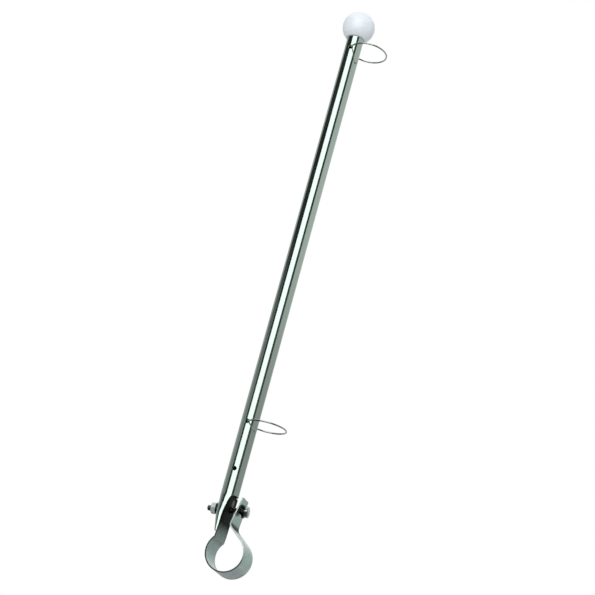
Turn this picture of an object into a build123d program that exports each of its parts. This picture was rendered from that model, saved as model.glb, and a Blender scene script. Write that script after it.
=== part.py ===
from build123d import *
import math
import os

# Short stainless flagstaff that clamps to a boat's rail.
# Origin: on the rail's axis, at the middle of the strap's width.
# +Z runs up the staff, Y runs along the rail, X runs along the clamp bolt.
# All lengths are in millimetres.

# Rail clamp strap
rail_diameter = 25.4
strap_thickness = 0.9
strap_width = 23.0
ear_end_width = 13.5
ear_gap = 6.8
ear_rise = 26.7
ear_corner_radius = 1.2
inner_bend_radius = 1.8
outer_bend_radius = 4.2
outer_run_angle = 50.0
outer_ear_lean_angle = 8.3

# Staff tube
tube_diameter = 12.7
tube_wall = 1.0
tube_length = 397.3
tube_offset = 10.7
tube_tip_drop = 26.0
shoulder_margin = 0.4
ear_side_press = 2.9
ear_side_tip_press = 5.35
nut_side_press = 1.45
nut_side_tip_press = 5.05
ear_seat_clearance = 0.1

# Flag rings and the cross holes that carry them
cross_hole_diameter = 3.2
spare_hole_distance = 44.4
lower_ring_distance = 78.5
upper_ring_drop = 20.2
ring_radius = 13.9
ring_wire_diameter = 1.2

# Ball on top
ball_diameter = 24.6
ball_land_width = 0.8
ball_socket_clearance = 0.05
ball_vent_diameter = 4.0
ball_vent_depth = 3.0

# Clamp bolt, nut and washers
bolt_drop = 9.4
bolt_tilt_angle = 4.8
bolt_diameter = 4.0
bolt_hole_clearance = 0.5
hex_across_flats = 7.0
bolt_head_height = 3.2
nut_height = 3.2
bolt_end_length = 2.9
bolt_end_chamfer = 0.5
hex_chamfer = 0.4
thread_clearance = 0.05
flat_washer_diameter = 9.0
flat_washer_thickness = 0.8
lock_washer_diameter = 7.6
lock_washer_thickness = 0.9
lock_washer_slit = 0.6
washer_hole_clearance = 0.15

# Cuts run past the faces that they open by this much
overrun = 2.0

# Places that follow from the sizes above
tube_radius = tube_diameter / 2
tube_x = -tube_offset
rail_radius = rail_diameter / 2
strap_line_radius = rail_radius + strap_thickness / 2
ear_top_height = rail_radius + ear_rise
tube_tip_height = ear_top_height - tube_tip_drop
shoulder_height = ear_top_height + shoulder_margin
ball_height = tube_tip_height + tube_length
spare_hole_height = tube_tip_height + spare_hole_distance
lower_ring_height = tube_tip_height + lower_ring_distance
upper_ring_height = ball_height - upper_ring_drop
inner_ear_lean = math.atan2(ear_side_tip_press - ear_side_press, tube_tip_drop)
outer_ear_lean = math.radians(outer_ear_lean_angle)
inner_ear_back = tube_radius - ear_side_press + ear_seat_clearance / math.cos(inner_ear_lean)
inner_ear_x = tube_x + inner_ear_back + strap_thickness / 2 / math.cos(inner_ear_lean)
outer_ear_x = inner_ear_x + strap_thickness + ear_gap
outer_ear_face_x = outer_ear_x + strap_thickness / 2 / math.cos(outer_ear_lean)

# Stations along the bolt are counted from the tube's axis, towards the head.
bolt_height = ear_top_height - bolt_drop
bolt_tilt = math.radians(bolt_tilt_angle)
bolt_axis = Vector(math.cos(bolt_tilt), 0, math.sin(bolt_tilt))
nut_seat = nut_side_press - tube_radius
nut_washer_end = nut_seat - flat_washer_thickness
lock_washer_end = nut_washer_end - lock_washer_thickness
nut_end = lock_washer_end - nut_height
head_lean = outer_ear_lean + bolt_tilt
ear_face_distance = ((outer_ear_face_x - tube_x) * math.cos(outer_ear_lean)
                     - (ear_top_height - bolt_height) * math.sin(outer_ear_lean))
washer_lean = flat_washer_diameter / 2 * math.sin(head_lean)
head_seat = (ear_face_distance + ear_seat_clearance + washer_lean) / math.cos(head_lean)
head_washer_end = head_seat + flat_washer_thickness
washer_foot_height = bolt_height - flat_washer_diameter / 2

os.makedirs("parts", exist_ok=True)


def across_bolt(station):
    """A plane across the clamp bolt at this station, its normal towards the head."""
    middle = Vector(tube_x, 0, bolt_height) + bolt_axis * station
    return Plane(origin=middle, x_dir=(0, 1, 0), z_dir=bolt_axis)


def rod_on_bolt(start, end, radius):
    """A round rod on the clamp bolt's axis."""
    return extrude(across_bolt(start) * Circle(radius), amount=end - start)


def hexagon_on_bolt(start, end):
    """A hexagonal prism on the bolt's axis, its corners eased at both ends by a turned cone."""
    side = extrude(across_bolt(start) * RegularPolygon(hex_across_flats / 2, 6, major_radius=False),
                   amount=end - start)
    corner_radius = hex_across_flats / math.sqrt(3)
    turned = chamfer(rod_on_bolt(start, end, corner_radius).edges().filter_by(GeomType.CIRCLE),
                     length=hex_chamfer)
    return side & turned


def nut_side_at(height):
    """How far the tube's nut side stands from its axis, on the flat that lies square to the bolt."""
    return (-nut_seat + (height - bolt_height) * math.sin(bolt_tilt)) / math.cos(bolt_tilt)


def ear_side_at(height):
    """How far the tube's ear side stands from its axis, on the flat that the inner ear lies on."""
    return tube_radius - ear_side_press - (ear_top_height - height) * math.tan(inner_ear_lean)


def foot_outline(height, ear_side, nut_side, ear_half, nut_half, middle, half_width):
    """A section of the tube's foot: flats on the ear and nut sides, and rounds that join them."""
    outline = [
        Line((-nut_side, nut_half), (-nut_side, -nut_half)),
        ThreePointArc((-nut_side, -nut_half), (middle, -half_width), (ear_side, -ear_half)),
        Line((ear_side, -ear_half), (ear_side, ear_half)),
        ThreePointArc((ear_side, ear_half), (middle, half_width), (-nut_side, nut_half)),
    ]
    return Pos(tube_x, 0, height) * make_face(outline)


def shoulder_section(inset):
    """The foot's top: the round tube with its two flats."""
    radius = tube_radius - inset
    ear_side = ear_side_at(shoulder_height) - inset
    nut_side = nut_side_at(shoulder_height) - inset
    ear_half = math.sqrt(radius ** 2 - ear_side ** 2)
    nut_half = math.sqrt(radius ** 2 - nut_side ** 2)
    return foot_outline(shoulder_height, ear_side, nut_side, ear_half, nut_half, 0, radius)


def pressed_section(height, ear_side, nut_side, inset):
    """Two flats joined by round ends. The tube keeps its girth: it widens as it gets thinner."""
    thickness = ear_side + nut_side
    straight = math.pi / 2 * (tube_diameter - thickness) / 2
    middle = (ear_side - nut_side) / 2
    half_width = straight + thickness / 2 - inset
    return foot_outline(height, ear_side - inset, nut_side - inset, straight, straight, middle, half_width)


def pressed_foot(inset):
    """The tube's lower end as a solid: round under the shoulder, flatter at the bolt, thin at the tip."""
    sections = [
        shoulder_section(inset),
        pressed_section(washer_foot_height, ear_side_at(washer_foot_height),
                        nut_side_at(washer_foot_height), inset),
        pressed_section(tube_tip_height, tube_radius - ear_side_tip_press,
                        tube_radius - nut_side_tip_press, inset),
    ]
    return loft(sections, ruled=True)


def staff_rod(radius, inset):
    """The straight tube from its shoulder up, as a solid, with the nut side's flat running out in it."""
    length = ball_height - shoulder_height
    rod = Cylinder(radius, length, align=(Align.CENTER, Align.CENTER, Align.MIN))
    low_side = tube_x + inset - nut_side_at(shoulder_height)
    high_side = tube_x + inset - nut_side_at(ball_height)
    outline = Polyline((low_side, shoulder_height), (high_side, ball_height),
                       (high_side, shoulder_height), close=True)
    waste = extrude(Plane.XZ * make_face(outline), amount=tube_diameter, both=True)
    return Pos(tube_x, 0, shoulder_height) * rod - waste


def cross_hole(height):
    """A drill hole through both walls of the tube, parallel to the rail."""
    drill = Cylinder(cross_hole_diameter / 2, tube_diameter + 2 * overrun, rotation=(90, 0, 0))
    return Pos(tube_x, 0, height) * drill


def make_pole_tube():
    outside = staff_rod(tube_radius, 0) + pressed_foot(0)
    hollow = staff_rod(tube_radius - tube_wall, tube_wall) + pressed_foot(tube_wall)
    tube = outside - hollow
    for height in (spare_hole_height, lower_ring_height, upper_ring_height):
        tube -= cross_hole(height)
    return tube - rod_on_bolt(-tube_diameter, tube_diameter, bolt_diameter / 2 + bolt_hole_clearance)


def make_top_ball():
    radius = ball_diameter / 2
    socket_radius = tube_radius + ball_socket_clearance
    land_radius = socket_radius + ball_land_width
    land_drop = math.sqrt(radius ** 2 - land_radius ** 2)
    ball = Pos(tube_x, 0, ball_height) * Sphere(radius)
    below = Box(ball_diameter, ball_diameter, radius, align=(Align.CENTER, Align.CENTER, Align.MAX))
    ball -= Pos(tube_x, 0, ball_height - land_drop) * below
    socket = Cylinder(socket_radius, radius, align=(Align.CENTER, Align.CENTER, Align.MAX))
    ball -= Pos(tube_x, 0, ball_height) * socket
    vent = Cylinder(ball_vent_diameter / 2, ball_vent_depth, align=(Align.CENTER, Align.CENTER, Align.MIN))
    return ball - Pos(tube_x, 0, ball_height) * vent


def make_flag_ring(height):
    """A closed wire ring; it crosses the tube's walls on the axis of its two holes."""
    wall_middle = tube_radius - tube_wall / 2
    reach = math.sqrt(ring_radius ** 2 - wall_middle ** 2)
    return Pos(tube_x + reach, 0, height) * Torus(ring_radius, ring_wire_diameter / 2)


def inner_bend():
    """Where the inner ear ends, and the bend that takes it into the loop."""
    top = Vector(inner_ear_x, ear_top_height)
    down = Vector(-math.sin(inner_ear_lean), -math.cos(inner_ear_lean))
    outward = Vector(-math.cos(inner_ear_lean), math.sin(inner_ear_lean))
    start = top + outward * inner_bend_radius
    along = start.dot(down)
    reach = strap_line_radius + inner_bend_radius
    travel = -along - math.sqrt(along ** 2 - start.dot(start) + reach ** 2)
    centre = start + down * travel
    run_end = top + down * travel
    loop_point = centre * (strap_line_radius / reach)
    toward = (run_end - centre) + (loop_point - centre)
    bend_middle = centre + toward.normalized() * inner_bend_radius
    return run_end, bend_middle, loop_point


def outer_root():
    """Where the outer ear meets the straight run that leaves the loop, and where that run starts."""
    angle = math.radians(outer_run_angle)
    radial = Vector(math.cos(angle), math.sin(angle))
    loop_point = radial * strap_line_radius
    top = Vector(outer_ear_x, ear_top_height)
    down = Vector(-math.sin(outer_ear_lean), -math.cos(outer_ear_lean))
    travel = (strap_line_radius - top.dot(radial)) / down.dot(radial)
    return top + down * travel, loop_point


def strap_line():
    """The strap's middle line in the X-Z plane: inner ear, bend, loop, straight run, outer ear."""
    run_end, bend_middle, inner_loop_point = inner_bend()
    root, outer_loop_point = outer_root()
    inner_top = Vector(inner_ear_x, ear_top_height)
    outer_top = Vector(outer_ear_x, ear_top_height)
    return [
        Line(inner_top, run_end),
        ThreePointArc(run_end, bend_middle, inner_loop_point),
        ThreePointArc(inner_loop_point, Vector(0, -strap_line_radius), outer_loop_point),
        FilletPolyline(outer_loop_point, root, outer_top, radius=outer_bend_radius),
    ]


def ear_trim():
    """The strap's outline seen along X: full width at the loop, narrower at the ears' ends."""
    half_loop = strap_width / 2
    half_end = ear_end_width / 2
    loop_top = strap_line_radius
    below = -strap_line_radius - overrun
    outline = Polyline((-half_loop, below), (half_loop, below), (half_loop, loop_top),
                       (half_end, ear_top_height), (-half_end, ear_top_height),
                       (-half_loop, loop_top), close=True)
    face = make_face(outline)
    top_corners = face.vertices().group_by(Axis.Y)[-1]
    face = fillet(top_corners, radius=ear_corner_radius)
    plane = Plane(origin=(0, 0, 0), x_dir=(0, 1, 0), z_dir=(1, 0, 0))
    return extrude(plane * face, amount=strap_width * 2, both=True)


def make_strap():
    bands = [trace(piece, line_width=strap_thickness) for piece in strap_line()]
    profile = bands[0]
    for band in bands[1:]:
        profile += band
    strap = extrude(Plane.XZ * profile, amount=strap_width / 2, both=True)
    strap = strap & ear_trim()
    return strap - rod_on_bolt(0, head_seat + overrun, bolt_diameter / 2 + bolt_hole_clearance)


def make_washer(start, end, diameter):
    hole = rod_on_bolt(start - overrun, end + overrun, bolt_diameter / 2 + washer_hole_clearance)
    return rod_on_bolt(start, end, diameter / 2) - hole


def make_lock_washer():
    """A split spring washer: its slit runs out at the top."""
    washer = make_washer(lock_washer_end, nut_washer_end, lock_washer_diameter)
    slit = Box(lock_washer_slit, lock_washer_diameter, lock_washer_thickness + 2 * overrun,
               align=(Align.CENTER, Align.MIN, Align.CENTER))
    return washer - across_bolt((lock_washer_end + nut_washer_end) / 2) * slit


def make_nut():
    hole = rod_on_bolt(nut_end - overrun, lock_washer_end + overrun, bolt_diameter / 2 + thread_clearance)
    return hexagon_on_bolt(nut_end, lock_washer_end) - hole


def make_bolt():
    shank = rod_on_bolt(nut_end - bolt_end_length, head_washer_end, bolt_diameter / 2)
    tip = shank.edges().filter_by(GeomType.CIRCLE).group_by(Axis.X)[0]
    shank = chamfer(tip, length=bolt_end_chamfer)
    return shank + hexagon_on_bolt(head_washer_end, head_washer_end + bolt_head_height)


nodes = {
    "pole_tube": make_pole_tube(),
    "top_ball": make_top_ball(),
    "upper_flag_ring": make_flag_ring(upper_ring_height),
    "lower_flag_ring": make_flag_ring(lower_ring_height),
    "rail_clamp_strap": make_strap(),
    "clamp_bolt": make_bolt(),
    "head_washer": make_washer(head_seat, head_washer_end, flat_washer_diameter),
    "nut_washer": make_washer(nut_washer_end, nut_seat, flat_washer_diameter),
    "lock_washer": make_lock_washer(),
    "clamp_nut": make_nut(),
}
for name, shape in nodes.items():
    export_step(shape, f"parts/{name}.step")
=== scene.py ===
import math

import bmesh
import bpy
from mathutils import Matrix, Vector


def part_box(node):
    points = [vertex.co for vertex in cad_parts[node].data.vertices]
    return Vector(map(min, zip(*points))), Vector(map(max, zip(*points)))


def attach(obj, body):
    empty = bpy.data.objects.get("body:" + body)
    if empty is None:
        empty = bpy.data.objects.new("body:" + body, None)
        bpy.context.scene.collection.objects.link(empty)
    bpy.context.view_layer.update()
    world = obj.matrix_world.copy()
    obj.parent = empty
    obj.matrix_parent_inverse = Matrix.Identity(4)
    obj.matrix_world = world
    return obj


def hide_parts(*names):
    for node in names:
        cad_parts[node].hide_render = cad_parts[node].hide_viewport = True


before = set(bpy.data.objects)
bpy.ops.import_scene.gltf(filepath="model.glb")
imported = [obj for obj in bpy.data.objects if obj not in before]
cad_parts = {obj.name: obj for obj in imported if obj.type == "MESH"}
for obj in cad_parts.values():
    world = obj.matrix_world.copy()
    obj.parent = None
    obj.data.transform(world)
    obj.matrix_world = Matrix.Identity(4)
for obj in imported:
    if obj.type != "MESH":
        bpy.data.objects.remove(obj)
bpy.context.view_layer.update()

# Camera: the photograph's viewing angle, read off the staff's edges, rings, ball and strap.
PHOTO_SIDE = 595
FOCAL_PIXELS = 1500
SENSOR_WIDTH = 36
CAMERA_AZIMUTH = math.radians(17.5)
CAMERA_ELEVATION = math.radians(-18.77)
CAMERA_ROLL = math.radians(15.26)
CAMERA_DISTANCE = 1.0654
CAMERA_SIDESTEP = 0.00933
AIM_HEIGHT = 0.1872

# Studio: a light panel and plain cards stand on a ring round the staff, hidden from the camera.
# Their azimuths are counted from the camera's.
RING_RADIUS = 2.0
FLOOR_HEIGHT = -0.6
FLOOR_SIDE = 60
FLOOR_SHADE = 0.7
FLOOR_ROUGHNESS = 0.8
KEY_AZIMUTH = -14
KEY_WIDTH = 2.3
KEY_RADIANCE = 1.4
KEY_GLOW = 1.6
WORLD_FILL = 0.65
CARD_LOW = -0.45
CARD_HIGH = 2.4
CARD_STEPS = 24
CARD_FADE_LOW = 0.6
CARD_FADE_HIGH = 1.0
CARD_TINT = (0.93, 1.04, 0.98)
MAT_WIDTH = 4
MAT_DEPTH = 3
MAT_BACK = 0.5
MAT_LIFT = 0.01
MAT_GLOW = 0.05

# Studio cards: name, first and last azimuth in degrees, and the glow near the floor and high up
STUDIO_CARDS = (
    ("key_face", -43, 16, KEY_GLOW, KEY_GLOW),
    ("right_line", 16, 43, 0.06, 0.04),
    ("right_side", 43, 135, 0.34, 0.56),
    ("right_back", 135, 158, 0.74, 0.74),
    ("left_line", -70, -43, 0.03, 0.02),
    ("left_side", -112, -70, 0.28, 0.03),
    ("left_back", -150, -112, 0.45, 0.45),
)

# Noise lies mostly between these values.
NOISE_LOW = 0.3
NOISE_HIGH = 0.7

# Depth of the fine relief and radius of the rounded edges, in metres
TUBE_RELIEF = 0.000004
STRAP_RELIEF = 0.000012
WIRE_RELIEF = 0.000004
FASTENER_RELIEF = 0.000008
BALL_RELIEF = 0.000006
TUBE_EDGE_RADIUS = 0.0003
STRAP_EDGE_RADIUS = 0.0003
FASTENER_EDGE_RADIUS = 0.0002
EDGE_SAMPLES = 4

# Strap: where its painted shade between the ears and in the bend, the lighter patch painted into it, and the
# painted shade and light on the sheared edges lie, in metres
# Painted shade between the ears, dark on the inner ear and fading down into the loop
GAP_SHADE_START = -0.012
GAP_SHADE_FULL = 0.02
GAP_SHADE_INNER_X = -0.0052
GAP_SHADE_OUTER_X = -0.0042
GAP_SHADE_ROUND_LOW = 0.012
GAP_SHADE_ROUND_HIGH = 0.016
GAP_SHADE_DRIFT = 0.003
# A lighter patch painted into that shade above the bolt
LIGHT_PATCH_HEIGHT = 0.0348
LIGHT_PATCH_NEAR = 0.0016
LIGHT_PATCH_FAR = 0.0032
# Painted shade in the outer bend
BEND_SHADE_X = 0
BEND_SHADE_HEIGHT = 0.0185
BEND_SHADE_NEAR = 0.0016
BEND_SHADE_FAR = 0.0032
# Painted shade on the sheared edges at the left and low end, painted lighter towards the right and higher up
EDGE_DARK_X = -0.003
EDGE_BRIGHT_X = -0.001
EDGE_DARK_HEIGHT = -0.004
EDGE_BRIGHT_HEIGHT = 0.006

# How far the lighter patch painted above the bolt lifts the painted shade towards its light colour
LIGHT_PATCH_STRENGTH = 0.85

# Clamp bolt and the thread on its end, in metres
BOLT_RADIUS = 0.002
BOLT_END_CHAMFER = 0.0005
THREAD_LENGTH = 0.0127
THREAD_PITCH = 0.0007
THREAD_DEPTH = 0.0004
MERGE_DISTANCE = 0.000001

# Thread: steps in a turn, spare turns beyond each end, and its profile as shares of pitch and depth
THREAD_STEPS = 24
THREAD_LEAD_TURNS = 2
THREAD_PROFILE_SHARES = ((0, 0), (0.22, 0), (0.54, 1), (0.68, 1), (1, 0))
SHARP_ANGLE = math.radians(35)


class Wire:
    """One socket of a node tree. Sums on it add Math nodes, and node() adds any other kind."""

    def __init__(self, tree, socket=None):
        self.tree = tree
        self.socket = socket

    def node(self, kind, settings=None, sockets=None, output=0):
        made = self.tree.nodes.new(kind)
        for name, value in (settings or {}).items():
            setattr(made, name, value)
        for name, value in (sockets or {}).items():
            if isinstance(value, Wire):
                self.tree.links.new(value.socket, made.inputs[name])
            else:
                made.inputs[name].default_value = value
        return Wire(self.tree, made.outputs[output] if made.outputs else None)

    def math(self, operation, first, second):
        return self.node("ShaderNodeMath", {"operation": operation}, {0: first, 1: second})

    def __add__(self, other):
        return self.math("ADD", self, other)

    __radd__ = __add__

    def __sub__(self, other):
        return self.math("SUBTRACT", self, other)

    def __rsub__(self, other):
        return self.math("SUBTRACT", other, self)

    def __mul__(self, other):
        return self.math("MULTIPLY", self, other)

    __rmul__ = __mul__

    def span(self, low, high, start, end):
        """Maps low to start and high to end, and holds those beyond."""
        return self.node("ShaderNodeMapRange", {"clamp": True},
                         {"Value": self, "From Min": low, "From Max": high, "To Min": start, "To Max": end})


def colour_mix(factor, first, second):
    """Colour first where the factor is 0, second where it is 1."""
    return factor.node("ShaderNodeMix", {"data_type": "RGBA"}, {0: factor, 6: first, 7: second}, 2)


def rgb(red, green, blue):
    return (red, green, blue, 1)


def new_material(name):
    """An empty material and a Wire that starts its node tree."""
    material = bpy.data.materials.new(name)
    material.use_nodes = True
    material.node_tree.nodes.clear()
    return material, Wire(material.node_tree)


def principled(start, settings):
    return start.node("ShaderNodeBsdfPrincipled", None, settings)


def close_material(start, shader):
    """Ends a material in this shader."""
    start.node("ShaderNodeOutputMaterial", None, {"Surface": shader})


def object_noise(start, scale, detail=3, roughness=0.5):
    """Noise on the piece's own coordinates, in cycles per metre along X, Y and Z."""
    place = start.node("ShaderNodeTexCoord", None, None, "Object")
    stretched = start.node("ShaderNodeMapping", None, {"Vector": place, "Scale": scale})
    return start.node("ShaderNodeTexNoise", None,
                      {"Vector": stretched, "Scale": 1, "Detail": detail, "Roughness": roughness}, "Fac")


def piece_axes(start, kind):
    """X, Y and Z of the piece's own coordinates (Object) or of the way its surface faces (Normal)."""
    place = start.node("ShaderNodeTexCoord", None, None, kind)
    return [start.node("ShaderNodeSeparateXYZ", None, {"Vector": place}, axis) for axis in "XYZ"]


def bump(start, height, distance, edge_radius=0):
    """Fine relief on the surface; with an edge radius, the piece's edges catch the light as if rounded."""
    sockets = {"Height": height, "Distance": distance}
    if edge_radius:
        sockets["Normal"] = start.node("ShaderNodeBevel", {"samples": EDGE_SAMPLES}, {"Radius": edge_radius})
    return start.node("ShaderNodeBump", None, sockets, "Normal")


def polished_tube_steel():
    """Drawn and polished tube: a near mirror with fine lines along it and faint hand marks."""
    material, start = new_material("polished_tube_steel")
    draw_lines = object_noise(start, (2600, 2600, 9), 2)
    smears = object_noise(start, (120, 120, 35), 4)
    shade = colour_mix(smears, rgb(0.58, 0.64, 0.605), rgb(0.65, 0.705, 0.67))
    roughness = draw_lines.span(NOISE_LOW, NOISE_HIGH, 0.07, 0.14) + smears.span(0.45, 0.75, 0, 0.06)
    relief = bump(start, draw_lines, TUBE_RELIEF, TUBE_EDGE_RADIUS)
    close_material(start, principled(start, {"Base Color": shade, "Metallic": 1, "Roughness": roughness,
                                             "Normal": relief}))
    return material


def near_line(first, second, near, far):
    """1 within the near distance of a line along the third axis, and 0 beyond the far one."""
    return (first * first + second * second).span(near ** 2, far ** 2, 1, 0)


def satin_strap_steel():
    """Sheet brushed along the band, with sheared edges, painted shade in the outer bend and painted shade
    between the ears.

    The painted shade is dark on the inner ear, lighter in a painted patch above the bolt, and fades down
    into the loop.
    """
    material, start = new_material("satin_strap_steel")
    brush_lines = object_noise(start, (30, 3200, 30), 3)
    clouds = object_noise(start, (160, 160, 160), 4)
    place_x, place_y, place_z = piece_axes(start, "Object")
    facing_x, facing_y = piece_axes(start, "Normal")[:2]
    edge = (facing_y * facing_y).span(0.4, 0.6, 0, 1)
    # Sheared edges: painted shade at the left and low end, painted lighter towards the right and higher up
    lit_edge = (place_x.span(EDGE_DARK_X, EDGE_BRIGHT_X, 0, 1)
                  * place_z.span(EDGE_DARK_HEIGHT, EDGE_BRIGHT_HEIGHT, 0, 1))
    edge_colour = colour_mix(lit_edge, rgb(0.045, 0.055, 0.052), rgb(0.48, 0.53, 0.5))
    face_colour = colour_mix(brush_lines.span(NOISE_LOW, NOISE_HIGH, 0, 1),
                             rgb(0.335, 0.415, 0.41), rgb(0.425, 0.51, 0.505))
    # Painted shade in the outer bend, on faces turned towards +X
    bend_shade = (near_line(place_x - BEND_SHADE_X, place_z - BEND_SHADE_HEIGHT, BEND_SHADE_NEAR, BEND_SHADE_FAR)
             * facing_x.span(0.2, 0.4, 0, 1) * clouds.span(0.2, 0.6, 0.8, 1))
    shade = colour_mix(edge, face_colour, edge_colour)
    roughness = brush_lines.span(NOISE_LOW, NOISE_HIGH, 0.24, 0.34) + clouds.span(0.4, 0.7, 0, 0.08)
    relief = bump(start, brush_lines, STRAP_RELIEF, STRAP_EDGE_RADIUS)
    steel = principled(start, {"Base Color": shade, "Metallic": 1, "Roughness": roughness, "Normal": relief})
    # Painted shade between the ears: dark on the inner ear's face and front edge, fading down into the loop
    height = place_z + (clouds - 0.5) * GAP_SHADE_DRIFT
    rise = height.span(GAP_SHADE_START, GAP_SHADE_FULL, 0, 1)
    gap_shade = (rise * rise * place_x.span(GAP_SHADE_INNER_X, GAP_SHADE_OUTER_X, 1, 0)
            * (facing_x.span(0.3, 0.6, 0, 1) + edge
               + place_z.span(GAP_SHADE_ROUND_LOW, GAP_SHADE_ROUND_HIGH, 0, 1)).span(0, 1, 0, 1))
    # A lighter patch painted into the painted shade above the bolt
    light_patch = near_line(place_y, place_z - LIGHT_PATCH_HEIGHT, LIGHT_PATCH_NEAR, LIGHT_PATCH_FAR)
    # The painted shade is brownish at its fringe and near black where it is full
    gap_shade_tone = colour_mix(gap_shade.span(0.5, 0.95, 0, 1), rgb(0.085, 0.07, 0.055), rgb(0.006, 0.007, 0.006))
    gap_shade_colour = colour_mix(light_patch * LIGHT_PATCH_STRENGTH, gap_shade_tone, rgb(0.27, 0.27, 0.22))
    painted_shade_colour = colour_mix(bend_shade, gap_shade_colour, rgb(0.022, 0.045, 0.034))
    # A dull dark surface that carries the painted shade, mixed over the steel
    painted_shade_surface = principled(start, {"Base Color": painted_shade_colour, "Roughness": 0.6, "Specular IOR Level": 0.08,
                              "Normal": relief})
    close_material(start, start.node("ShaderNodeMixShader", None, {0: gap_shade + bend_shade, 1: steel, 2: painted_shade_surface}))
    return material


def drawn_ring_wire():
    """Bright drawn wire with a light grain and a few dull patches."""
    material, start = new_material("drawn_ring_wire")
    grain = object_noise(start, (1500, 1500, 1500), 3)
    patches = object_noise(start, (300, 300, 300), 2)
    shade = colour_mix(patches, rgb(0.46, 0.5, 0.48), rgb(0.6, 0.64, 0.62))
    close_material(start, principled(start, {"Base Color": shade, "Metallic": 1,
                                             "Roughness": grain.span(NOISE_LOW, NOISE_HIGH, 0.14, 0.26),
                                             "Normal": bump(start, grain, WIRE_RELIEF)}))
    return material


def forged_steel(name, bright, dark, smooth, rough, metallic=1):
    """Cold-formed steel: lightly pitted, with stains between the bright and the dark colour."""
    material, start = new_material(name)
    pits = object_noise(start, (1800, 1800, 1800), 4, 0.6)
    stains = object_noise(start, (350, 350, 350), 3)
    shade = colour_mix(stains.span(0.35, 0.7, 0, 1), bright, dark)
    relief = bump(start, pits, FASTENER_RELIEF, FASTENER_EDGE_RADIUS)
    close_material(start, principled(start, {"Base Color": shade, "Metallic": metallic,
                                             "Roughness": pits.span(NOISE_LOW, NOISE_HIGH, smooth, rough),
                                             "Normal": relief}))
    return material


def bright_head_steel():
    return forged_steel("bright_head_steel", rgb(0.6, 0.64, 0.62), rgb(0.42, 0.46, 0.445), 0.18, 0.3)


def plated_nut_steel():
    return forged_steel("plated_nut_steel", rgb(0.56, 0.62, 0.6), rgb(0.46, 0.52, 0.5), 0.38, 0.5, 0.5)


def dark_washer_steel():
    return forged_steel("dark_washer_steel", rgb(0.04, 0.046, 0.044), rgb(0.014, 0.017, 0.016), 0.2, 0.34)


def oiled_thread_steel():
    return forged_steel("oiled_thread_steel", rgb(0.2, 0.22, 0.21), rgb(0.08, 0.09, 0.085), 0.12, 0.24)


def white_ball_plastic():
    """Glossy white moulding with a faint cloud of tone and a slight orange-peel surface."""
    material, start = new_material("white_ball_plastic")
    cloud = object_noise(start, (90, 90, 90), 3)
    peel = object_noise(start, (900, 900, 900), 2)
    shade = colour_mix(cloud, rgb(0.8, 0.865, 0.925), rgb(0.85, 0.9, 0.955))
    close_material(start, principled(start, {"Base Color": shade,
                                             "Roughness": peel.span(NOISE_LOW, NOISE_HIGH, 0.22, 0.32),
                                             "Coat Weight": 0.3, "Coat Roughness": 0.12,
                                             "Normal": bump(start, peel, BALL_RELIEF)}))
    return material


def wear(node, material):
    """Gives a CAD node its finish."""
    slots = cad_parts[node].data.materials
    slots.clear()
    slots.append(material)


def bolt_line():
    """The middle of the clamp bolt's tip, and its axis towards the head."""
    head_middle, nut_middle = (sum(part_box(node), Vector()) / 2 for node in ("head_washer", "clamp_nut"))
    axis = (head_middle - nut_middle).normalized()
    tip = min(axis.dot(vertex.co - nut_middle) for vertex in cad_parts["clamp_bolt"].data.vertices)
    return nut_middle + axis * tip, axis


def close_cut(bm, place, direction, keep_inner):
    """Cuts the mesh at a plane, drops one side of it and closes the rim."""
    cut = bmesh.ops.bisect_plane(bm, geom=bm.verts[:] + bm.edges[:] + bm.faces[:], plane_co=place,
                                 plane_no=direction, clear_outer=keep_inner, clear_inner=not keep_inner)
    rim = [part for part in cut["geom_cut"] if isinstance(part, bmesh.types.BMEdge)]
    bmesh.ops.edgeloop_fill(bm, edges=rim)


def cut_thread(bm, length):
    """A threaded rod up the Z axis from its chamfered tip at zero."""
    start = -THREAD_LEAD_TURNS * THREAD_PITCH
    root = BOLT_RADIUS - THREAD_DEPTH
    profile = [bm.verts.new((root + depth * THREAD_DEPTH, 0, start + along * THREAD_PITCH))
               for along, depth in THREAD_PROFILE_SHARES]
    lines = [bm.edges.new(pair) for pair in zip(profile, profile[1:])]
    turns = math.ceil(length / THREAD_PITCH) + 2 * THREAD_LEAD_TURNS
    bmesh.ops.spin(bm, geom=profile + lines, cent=(0, 0, 0), axis=(0, 0, 1), angle=turns * math.tau,
                   dvec=(0, 0, THREAD_PITCH / THREAD_STEPS), steps=turns * THREAD_STEPS)
    bmesh.ops.remove_doubles(bm, verts=bm.verts, dist=MERGE_DISTANCE)
    close_cut(bm, (0, 0, length), (0, 0, 1), True)
    close_cut(bm, (0, 0, 0), (0, 0, 1), False)
    for vert in bm.verts:
        radius = math.hypot(vert.co.x, vert.co.y)
        cone = BOLT_RADIUS - BOLT_END_CHAMFER + vert.co.z
        if radius > cone:
            vert.co.x *= cone / radius
            vert.co.y *= cone / radius
    bmesh.ops.recalc_face_normals(bm, faces=bm.faces)


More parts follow.
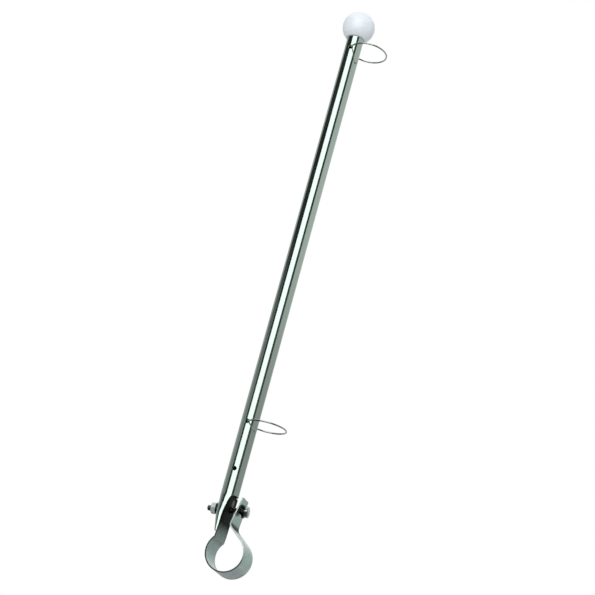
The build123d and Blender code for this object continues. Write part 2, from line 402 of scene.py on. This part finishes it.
def make_threaded_bolt(head_finish, thread_finish):
    """The clamp bolt with its thread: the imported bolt's head and plain shank, and a threaded end."""
    tip, axis = bolt_line()
    head = bmesh.new()
    head.from_mesh(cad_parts["clamp_bolt"].data)
    bmesh.ops.remove_doubles(head, verts=head.verts, dist=MERGE_DISTANCE)
    close_cut(head, tip + axis * THREAD_LENGTH, axis, False)
    bmesh.ops.recalc_face_normals(head, faces=head.faces)
    head_mesh = bpy.data.meshes.new("bolt_head")
    head.to_mesh(head_mesh)
    head.free()
    bm = bmesh.new()
    cut_thread(bm, THREAD_LENGTH)
    turn = axis.to_track_quat("Z", "Y").to_matrix().to_4x4()
    bmesh.ops.transform(bm, matrix=Matrix.Translation(tip) @ turn, verts=bm.verts)
    for face in bm.faces:
        face.material_index = 1
    bm.from_mesh(head_mesh)
    for face in bm.faces:
        face.smooth = True
    mesh = bpy.data.meshes.new("threaded_clamp_bolt")
    bm.to_mesh(mesh)
    bm.free()
    mesh.set_sharp_from_angle(angle=SHARP_ANGLE)
    mesh.materials.append(head_finish)
    mesh.materials.append(thread_finish)
    bolt = bpy.data.objects.new("threaded_clamp_bolt", mesh)
    bpy.context.scene.collection.objects.link(bolt)
    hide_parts("clamp_bolt")
    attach(bolt, "staff")


def ring_place(azimuth, height):
    """A place on the studio's ring; azimuth 0 is in front of the staff, as the camera's is."""
    return Vector((RING_RADIUS * math.sin(azimuth), -RING_RADIUS * math.cos(azimuth), height))


def light_panel(name, azimuth_degrees, width, low, high, radiance):
    """A soft light panel that faces the staff; in reflections a card stands for it."""
    light = bpy.data.lights.new(name, "AREA")
    light.shape = "RECTANGLE"
    light.size = width
    light.size_y = high - low
    light.energy = radiance * math.pi * width * (high - low)
    panel = bpy.data.objects.new(name, light)
    azimuth = math.radians(azimuth_degrees)
    panel.matrix_world = (Matrix.Translation(ring_place(azimuth, (low + high) / 2))
                          @ Matrix.Rotation(azimuth, 4, "Z") @ Matrix.Rotation(math.radians(90), 4, "X"))
    panel.visible_camera = False
    panel.visible_glossy = False
    bpy.context.scene.collection.objects.link(panel)


def reflected_only(name, bm, glow_low, glow_high):
    """A studio piece that shows only in reflections, with one glow near the floor and another high up."""
    mesh = bpy.data.meshes.new(name)
    bm.to_mesh(mesh)
    bm.free()
    material, start = new_material(name)
    height = piece_axes(start, "Object")[2].span(CARD_FADE_LOW, CARD_FADE_HIGH, 0, 1)
    tints = [rgb(*(glow * share for share in CARD_TINT)) for glow in (glow_low, glow_high)]
    close_material(start, principled(start, {"Base Color": rgb(0, 0, 0), "Specular IOR Level": 0,
                                             "Emission Color": colour_mix(height, *tints),
                                             "Emission Strength": 1}))
    mesh.materials.append(material)
    card = bpy.data.objects.new(name, mesh)
    card.visible_camera = False
    card.visible_diffuse = False
    card.visible_shadow = False
    bpy.context.scene.collection.objects.link(card)


def studio_card(name, start_degrees, end_degrees, glow_low, glow_high):
    """A plain card bent along the studio's ring."""
    start, end = (CAMERA_AZIMUTH + math.radians(degrees) for degrees in (start_degrees, end_degrees))
    bm = bmesh.new()
    foot, head = (bm.verts.new(ring_place(start, height)) for height in (CARD_LOW, CARD_HIGH))
    upright = bm.edges.new((foot, head))
    bmesh.ops.spin(bm, geom=[foot, head, upright], cent=(0, 0, 0), axis=(0, 0, 1), angle=end - start,
                   steps=CARD_STEPS)
    reflected_only(name, bm, glow_low, glow_high)


def floor_mat():
    """A dark mat on the floor, in front of the staff and under it."""
    bm = bmesh.new()
    bmesh.ops.create_grid(bm, x_segments=1, y_segments=1, size=0.5)
    bmesh.ops.scale(bm, vec=(MAT_WIDTH, MAT_DEPTH, 1), verts=bm.verts)
    bmesh.ops.translate(bm, vec=(0, MAT_BACK - MAT_DEPTH / 2, FLOOR_HEIGHT + MAT_LIFT), verts=bm.verts)
    reflected_only("floor_mat", bm, MAT_GLOW, MAT_GLOW)


def plain_surface(name, colour, roughness):
    material, start = new_material(name)
    close_material(start, principled(start, {"Base Color": colour, "Roughness": roughness}))
    return material


def lay_floor():
    bm = bmesh.new()
    bmesh.ops.create_grid(bm, x_segments=1, y_segments=1, size=FLOOR_SIDE / 2)
    bmesh.ops.translate(bm, vec=(0, 0, FLOOR_HEIGHT), verts=bm.verts)
    mesh = bpy.data.meshes.new("studio_floor")
    bm.to_mesh(mesh)
    bm.free()
    pale = rgb(FLOOR_SHADE, FLOOR_SHADE, FLOOR_SHADE)
    mesh.materials.append(plain_surface("pale_floor", pale, FLOOR_ROUGHNESS))
    floor = bpy.data.objects.new("studio_floor", mesh)
    bpy.context.scene.collection.objects.link(floor)


def light_world():
    """White to the camera and in reflections, softer as a light on dull surfaces."""
    world = bpy.data.worlds.new("studio_world")
    world.use_nodes = True
    world.node_tree.nodes.clear()
    start = Wire(world.node_tree)
    camera_ray, glossy_ray, clear_ray = (
        start.node("ShaderNodeLightPath", None, None, kind)
        for kind in ("Is Camera Ray", "Is Glossy Ray", "Is Transmission Ray"))
    shown = (camera_ray + glossy_ray + clear_ray).span(0, 1, WORLD_FILL, 1)
    background = start.node("ShaderNodeBackground", None, {"Color": rgb(1, 1, 1), "Strength": shown})
    start.node("ShaderNodeOutputWorld", None, {"Surface": background})
    bpy.context.scene.world = world


def set_camera():
    azimuth, elevation = CAMERA_AZIMUTH, CAMERA_ELEVATION
    staff_low, staff_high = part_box("pole_tube")
    target = Vector(((staff_low.x + staff_high.x) / 2, 0, AIM_HEIGHT))
    back = Vector((math.sin(azimuth) * math.cos(elevation), -math.cos(azimuth) * math.cos(elevation),
                   math.sin(elevation)))
    level_right = Vector((0, 0, 1)).cross(back).normalized()
    level_up = back.cross(level_right)
    right = level_right * math.cos(CAMERA_ROLL) + level_up * math.sin(CAMERA_ROLL)
    up = back.cross(right)
    data = bpy.data.cameras.new("photo_camera")
    data.sensor_width = SENSOR_WIDTH
    data.lens = SENSOR_WIDTH * FOCAL_PIXELS / PHOTO_SIDE
    camera = bpy.data.objects.new("photo_camera", data)
    place = target + back * CAMERA_DISTANCE + right * CAMERA_SIDESTEP
    camera.matrix_world = Matrix.Translation(place) @ Matrix((right, up, back)).transposed().to_4x4()
    bpy.context.scene.collection.objects.link(camera)
    bpy.context.scene.camera = camera


def light_studio():
    light_panel("key_panel", math.degrees(CAMERA_AZIMUTH) + KEY_AZIMUTH, KEY_WIDTH, CARD_LOW, CARD_HIGH,
                KEY_RADIANCE)
    for card in STUDIO_CARDS:
        studio_card(*card)
    floor_mat()


set_camera()
light_world()
light_studio()
lay_floor()

wear("pole_tube", polished_tube_steel())
wear("top_ball", white_ball_plastic())
wear("rail_clamp_strap", satin_strap_steel())
wire = drawn_ring_wire()
for ring in ("upper_flag_ring", "lower_flag_ring"):
    wear(ring, wire)
make_threaded_bolt(bright_head_steel(), oiled_thread_steel())
wear("clamp_nut", plated_nut_steel())
washer_finish = dark_washer_steel()
for washer in ("head_washer", "nut_washer", "lock_washer"):
    wear(washer, washer_finish)

bpy.context.scene.view_settings.view_transform = "Standard"
